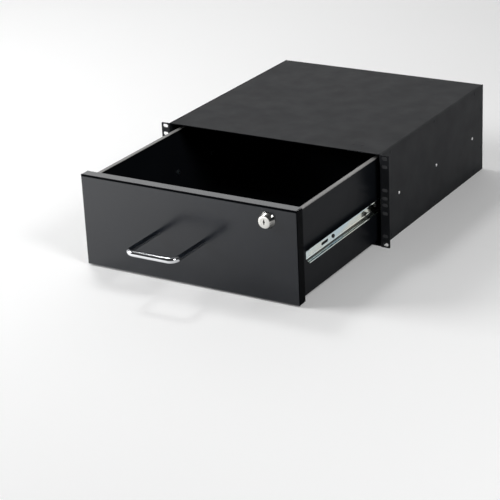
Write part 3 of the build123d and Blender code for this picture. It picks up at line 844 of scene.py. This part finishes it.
class DRAWER_OT_plate_slides(bpy.types.Operator):
    """Plate the slides' members, and finish their cages and bumpers."""

    bl_idname = "drawer.plate_slides"
    bl_label = "Plate Slides"

    def execute(self, context):
        metal = context.scene.drawer_metal
        dress(zinc_plate("slide_zinc", metal), "cabinet_member_left", "cabinet_member_right",
              "drawer_member_left", "drawer_member_right")
        dress(rolled_steel("cage_steel", metal.steel_color), "ball_cage_left", "ball_cage_right")
        dress(moulded_rubber("bumper_rubber"), "slide_bumper_left", "slide_bumper_right")
        return {"FINISHED"}


class DRAWER_OT_plate_pull(bpy.types.Operator):
    """Chrome the wire pull."""

    bl_idname = "drawer.plate_pull"
    bl_label = "Chrome Pull"

    def execute(self, context):
        color = context.scene.drawer_metal.chrome_color
        dress(bright_plate("pull_chrome", color, shine=0.05, smudge=0.03), "wire_pull")
        return {"FINISHED"}


class DRAWER_OT_finish_lock(bpy.types.Operator):
    """Finish the lock and its strike, and cut the thread on its barrel."""

    bl_idname = "drawer.finish_lock"
    bl_label = "Finish Lock"

    def execute(self, context):
        metal = context.scene.drawer_metal
        nickel = turned_nickel("lock_nickel", metal.nickel_color)
        dress(nickel, "lock_collar", "lock_plug")
        shape = barrel_shape("threaded_body", context.scene.drawer_hardware)
        fitted("threaded_barrel", shape, [backward(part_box("lock_barrel"))],
               "drawer", "lock_barrel", nickel)
        zinc = zinc_plate("zinc_parts", metal, along=(1, 1, 1), shine=0.3)
        dress(zinc, "lock_cam", "cam_nut", "lock_strike")
        return {"FINISHED"}


class DRAWER_OT_fit_balls(bpy.types.Operator):
    """Fill the cages with smooth polished balls."""

    bl_idname = "drawer.fit_balls"
    bl_label = "Fit Balls"

    def execute(self, context):
        hardware = context.scene.drawer_hardware
        radius, count = hardware.ball_radius, hardware.balls_in_row
        steel = bright_plate("ball_steel", (0.8, 0.8, 0.81), shine=0.05, smudge=0.03)
        tree = ball_row_tree()
        for side in ("left", "right"):
            low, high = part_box(f"balls_{side}")
            centre_x, first_y = (low.x + high.x) / 2, low.y + radius
            starts = [(centre_x, first_y, low.z + radius), (centre_x, first_y, high.z - radius)]
            pitch = (high.y - low.y - 2 * radius) / (count - 1)
            inputs = {
                "Ball Radius": radius, "Balls in a Row": count, "Pitch": pitch, "Finish": steel}
            balls = grown(f"polished_balls_{side}", starts, tree, inputs)
            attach(balls, f"cage_{side}")
            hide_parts(f"balls_{side}")
        return {"FINISHED"}


class DRAWER_OT_set_rivets(bpy.types.Operator):
    """Set the domed rivets of the housing, the slides and the strike."""

    bl_idname = "drawer.set_rivets"
    bl_label = "Set Rivets"

    def execute(self, context):
        paint = context.scene.drawer_paint
        coat = powder_coat("rivet_powder_coat", paint.coat_color, paint.housing_roughness,
                           HOUSING_IOR, paint)
        steel = bright_plate("rivet_steel", (0.6, 0.6, 0.6), shine=0.2)
        placed = [outward(box) for box in solids_of("housing_rivets")]
        fitted("domed_rivets", rivet_shape("housing_rivet", **HOUSING_RIVET), placed,
               "housing", "housing_rivets", coat)
        placed = [outward(box) for box in solids_of("cabinet_rivets")]
        fitted("slide_rivets", turned_shape("countersunk_rivet", SLIDE_RIVET), placed,
               "housing", "cabinet_rivets", steel)
        placed = [upright(box) for box in solids_of("strike_rivets")]
        fitted("strike_rivet_pair", rivet_shape("strike_rivet", **STRIKE_RIVET), placed,
               "housing", "strike_rivets", coat)
        return {"FINISHED"}


class DRAWER_OT_drive_screws(bpy.types.Operator):
    """Drive the slides' and the pull's screws."""

    bl_idname = "drawer.drive_screws"
    bl_label = "Drive Screws"

    def execute(self, context):
        hardware = context.scene.drawer_hardware
        black = bright_plate("black_oxide", (0.035, 0.036, 0.038), shine=0.34, smudge=0.12)
        zinc = zinc_plate("screw_zinc", context.scene.drawer_metal, along=(1, 1, 1), shine=0.28)
        placed = [outward(box) for box in solids_of("member_screws")]
        shape = screw_shape("slide_screw", **SLIDE_SCREW, hardware=hardware)
        fitted("slide_screws", shape, placed, "drawer", "member_screws", black)
        placed = [backward(box) for box in solids_of("pull_screws")]
        shape = screw_shape("pull_screw", **PULL_SCREW, hardware=hardware)
        fitted("handle_screws", shape, placed, "drawer", "pull_screws", zinc)
        return {"FINISHED"}


class DRAWER_OT_fit_nuts(bpy.types.Operator):
    """Fit the nuts inside the tray."""

    bl_idname = "drawer.fit_nuts"
    bl_label = "Fit Nuts"

    def execute(self, context):
        chamfer = context.scene.drawer_hardware.nut_chamfer / MM
        zinc = zinc_plate("nut_zinc", context.scene.drawer_metal, along=(1, 1, 1), shine=0.3)
        placed = [outward(box) for box in solids_of("member_nuts")]
        shape = nut_shape("slide_nut", **SLIDE_NUT, chamfer=chamfer, turn=SIXTH_TURN / 2)
        fitted("slide_nuts", shape, placed, "drawer", "member_nuts", zinc)
        placed = [backward(box) for box in solids_of("stud_nuts")]
        shape = nut_shape("front_nut", **FRONT_NUT, chamfer=chamfer, turn=0.0)
        fitted("front_nuts", shape, placed, "drawer", "stud_nuts", zinc)
        placed = [backward(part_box("lock_nut"))]
        shape = nut_shape("barrel_nut", **BARREL_NUT, chamfer=2 * chamfer, turn=0.0)
        fitted("lock_ring_nut", shape, placed, "drawer", "lock_nut", zinc)
        return {"FINISHED"}


class DRAWER_OT_set_studio(bpy.types.Operator):
    """Lay the floor, light the sky and hang the lamps."""

    bl_idname = "drawer.set_studio"
    bl_label = "Set Studio"

    def execute(self, context):
        studio = context.scene.drawer_studio
        context.scene.view_settings.view_transform = "Standard"
        self.lay_floor(context, studio)
        self.light_sky(context, studio)
        for name, place, aim, size, power in LAMPS:
            self.hang(context, name, Vector(place), Vector(aim), size, getattr(studio, power))
        return {"FINISHED"}

    def lay_floor(self, context, studio):
        floor_z = min(cad_box[0][2], cad_box[1][2])
        signs = ((-1, -1), (1, -1), (1, 1), (-1, 1))
        corners = [(FLOOR_REACH * x, FLOOR_REACH * y, floor_z) for x, y in signs]
        mesh = bpy.data.meshes.new("floor")
        mesh.from_pydata(corners, [], [(0, 1, 2, 3)])
        floor = bpy.data.objects.new("floor", mesh)
        context.scene.collection.objects.link(floor)
        paint = Finish("floor_paint")
        paint.set(Roughness=0.9, Specular_IOR_Level=0.2, Emission_Color=(1, 1, 1, 1))
        seen = paint.nodes.new("ShaderNodeLightPath")
        lift = paint.spread(seen.outputs["Is Camera Ray"], 0.0, studio.floor_lift, 0.0, 1.0)
        # Painted reflection: the floor glows for glossy rays only, towards the left and the right,
        # so gloss shows it brighter than it is lit
        across = paint.axis("X")
        left = paint.spread(across, studio.left_painted_reflection, 0.0, LEFT_GLOW_FULL, LEFT_GLOW_END)
        right = paint.spread(across, 0.0, studio.right_painted_reflection, RIGHT_GLOW_END, RIGHT_GLOW_FULL)
        glow = paint.combined("MAXIMUM", left, right)
        painted_reflection = paint.combined("MULTIPLY", seen.outputs["Is Glossy Ray"], glow)
        strength = paint.combined("MAXIMUM", lift, painted_reflection)
        paint.link(strength, paint.shader.inputs["Emission Strength"])
        clouds = paint.noise(scale=1.5, detail=2.0)
        base = paint.ramp(clouds, lighter(studio.floor_color, 0.985), studio.floor_color)
        mesh.materials.append(paint.wear(base))

    def light_sky(self, context, studio):
        world = bpy.data.worlds.new("studio_world")
        context.scene.world = world
        world.use_nodes = True
        nodes, links = world.node_tree.nodes, world.node_tree.links
        direction = nodes.new("ShaderNodeTexCoord")
        toward = nodes.new("ShaderNodeVectorMath")
        toward.operation = "DOT_PRODUCT"
        toward.inputs[1].default_value = Vector(studio.sky_side).normalized()
        links.new(direction.outputs["Generated"], toward.inputs[0])
        glow = nodes.new("ShaderNodeMapRange")
        glow.interpolation_type = "SMOOTHSTEP"
        glow.inputs["From Min"].default_value = SKY_START
        glow.inputs["From Max"].default_value = 1.0
        glow.inputs["To Min"].default_value = SKY_DIM_STRENGTH
        glow.inputs["To Max"].default_value = studio.world_strength
        links.new(toward.outputs["Value"], glow.inputs["Value"])
        background = nodes["Background"]
        background.inputs["Color"].default_value = (1, 1, 1, 1)
        links.new(glow.outputs["Result"], background.inputs["Strength"])

    def hang(self, context, name, place, aim, size, power):
        lamp = bpy.data.lights.new(name, "AREA")
        lamp.shape = "RECTANGLE"
        lamp.size, lamp.size_y = size
        lamp.energy = power
        hung = bpy.data.objects.new(name, lamp)
        hung.location = place
        hung.rotation_euler = (aim - place).to_track_quat("-Z", "Y").to_euler()
        context.scene.collection.objects.link(hung)


class DRAWER_OT_place_camera(bpy.types.Operator):
    """Stand the camera where the photograph was taken from."""

    bl_idname = "drawer.place_camera"
    bl_label = "Place Camera"

    def execute(self, context):
        studio = context.scene.drawer_studio
        turn, tilt, roll = studio.camera_turn, studio.camera_tilt, studio.camera_roll
        level = math.cos(tilt)
        sight = Vector((-math.sin(turn) * level, math.cos(turn) * level, -math.sin(tilt)))
        across = Vector((math.cos(turn), math.sin(turn), 0))
        upward = across.cross(sight)
        right = across * math.cos(roll) + upward * math.sin(roll)
        top = upward * math.cos(roll) - across * math.sin(roll)
        lens = bpy.data.cameras.new("photo_camera")
        lens.lens = studio.focal_length
        lens.sensor_width = SENSOR_WIDTH
        lens.clip_end = VIEW_REACH
        camera = bpy.data.objects.new("photo_camera", lens)
        context.scene.collection.objects.link(camera)
        turned = Matrix((right, top, -sight)).transposed().to_4x4()
        camera.matrix_world = Matrix.Translation(studio.camera_place) @ turned
        context.scene.camera = camera
        return {"FINISHED"}


OPERATORS = (
    DRAWER_OT_paint_housing,
    DRAWER_OT_paint_tray,
    DRAWER_OT_paint_front,
    DRAWER_OT_plate_slides,
    DRAWER_OT_plate_pull,
    DRAWER_OT_finish_lock,
    DRAWER_OT_fit_balls,
    DRAWER_OT_set_rivets,
    DRAWER_OT_drive_screws,
    DRAWER_OT_fit_nuts,
    DRAWER_OT_set_studio,
    DRAWER_OT_place_camera,
)


class DRAWER_PT_finish(bpy.types.Panel):
    """Sidebar panel with every step of the drawer's finish and every setting."""

    bl_idname = "DRAWER_PT_finish"
    bl_label = "Rack Drawer Finish"
    bl_space_type = "VIEW_3D"
    bl_region_type = "UI"
    bl_category = "Rack Drawer"

    def draw(self, context):
        column = self.layout.column()
        for operator in OPERATORS:
            column.operator(operator.bl_idname)
        for name, group in SETTINGS.items():
            box = self.layout.box()
            for setting in group.__annotations__:
                box.prop(getattr(context.scene, name), setting)


def register():
    for name, group in SETTINGS.items():
        bpy.utils.register_class(group)
        setattr(bpy.types.Scene, name, bpy.props.PointerProperty(type=group))
    for operator in OPERATORS:
        bpy.utils.register_class(operator)
    bpy.utils.register_class(DRAWER_PT_finish)


def unregister():
    bpy.utils.unregister_class(DRAWER_PT_finish)
    for operator in reversed(OPERATORS):
        bpy.utils.unregister_class(operator)
    for name, group in SETTINGS.items():
        delattr(bpy.types.Scene, name)
        bpy.utils.unregister_class(group)


def main():
    register()
    bpy.ops.drawer.paint_housing()
    bpy.ops.drawer.paint_tray()
    bpy.ops.drawer.paint_front()
    bpy.ops.drawer.plate_slides()
    bpy.ops.drawer.plate_pull()
    bpy.ops.drawer.finish_lock()
    bpy.ops.drawer.fit_balls()
    bpy.ops.drawer.set_rivets()
    bpy.ops.drawer.drive_screws()
    bpy.ops.drawer.fit_nuts()
    bpy.ops.drawer.set_studio()
    bpy.ops.drawer.place_camera()


if __name__ == "__main__":
    main()
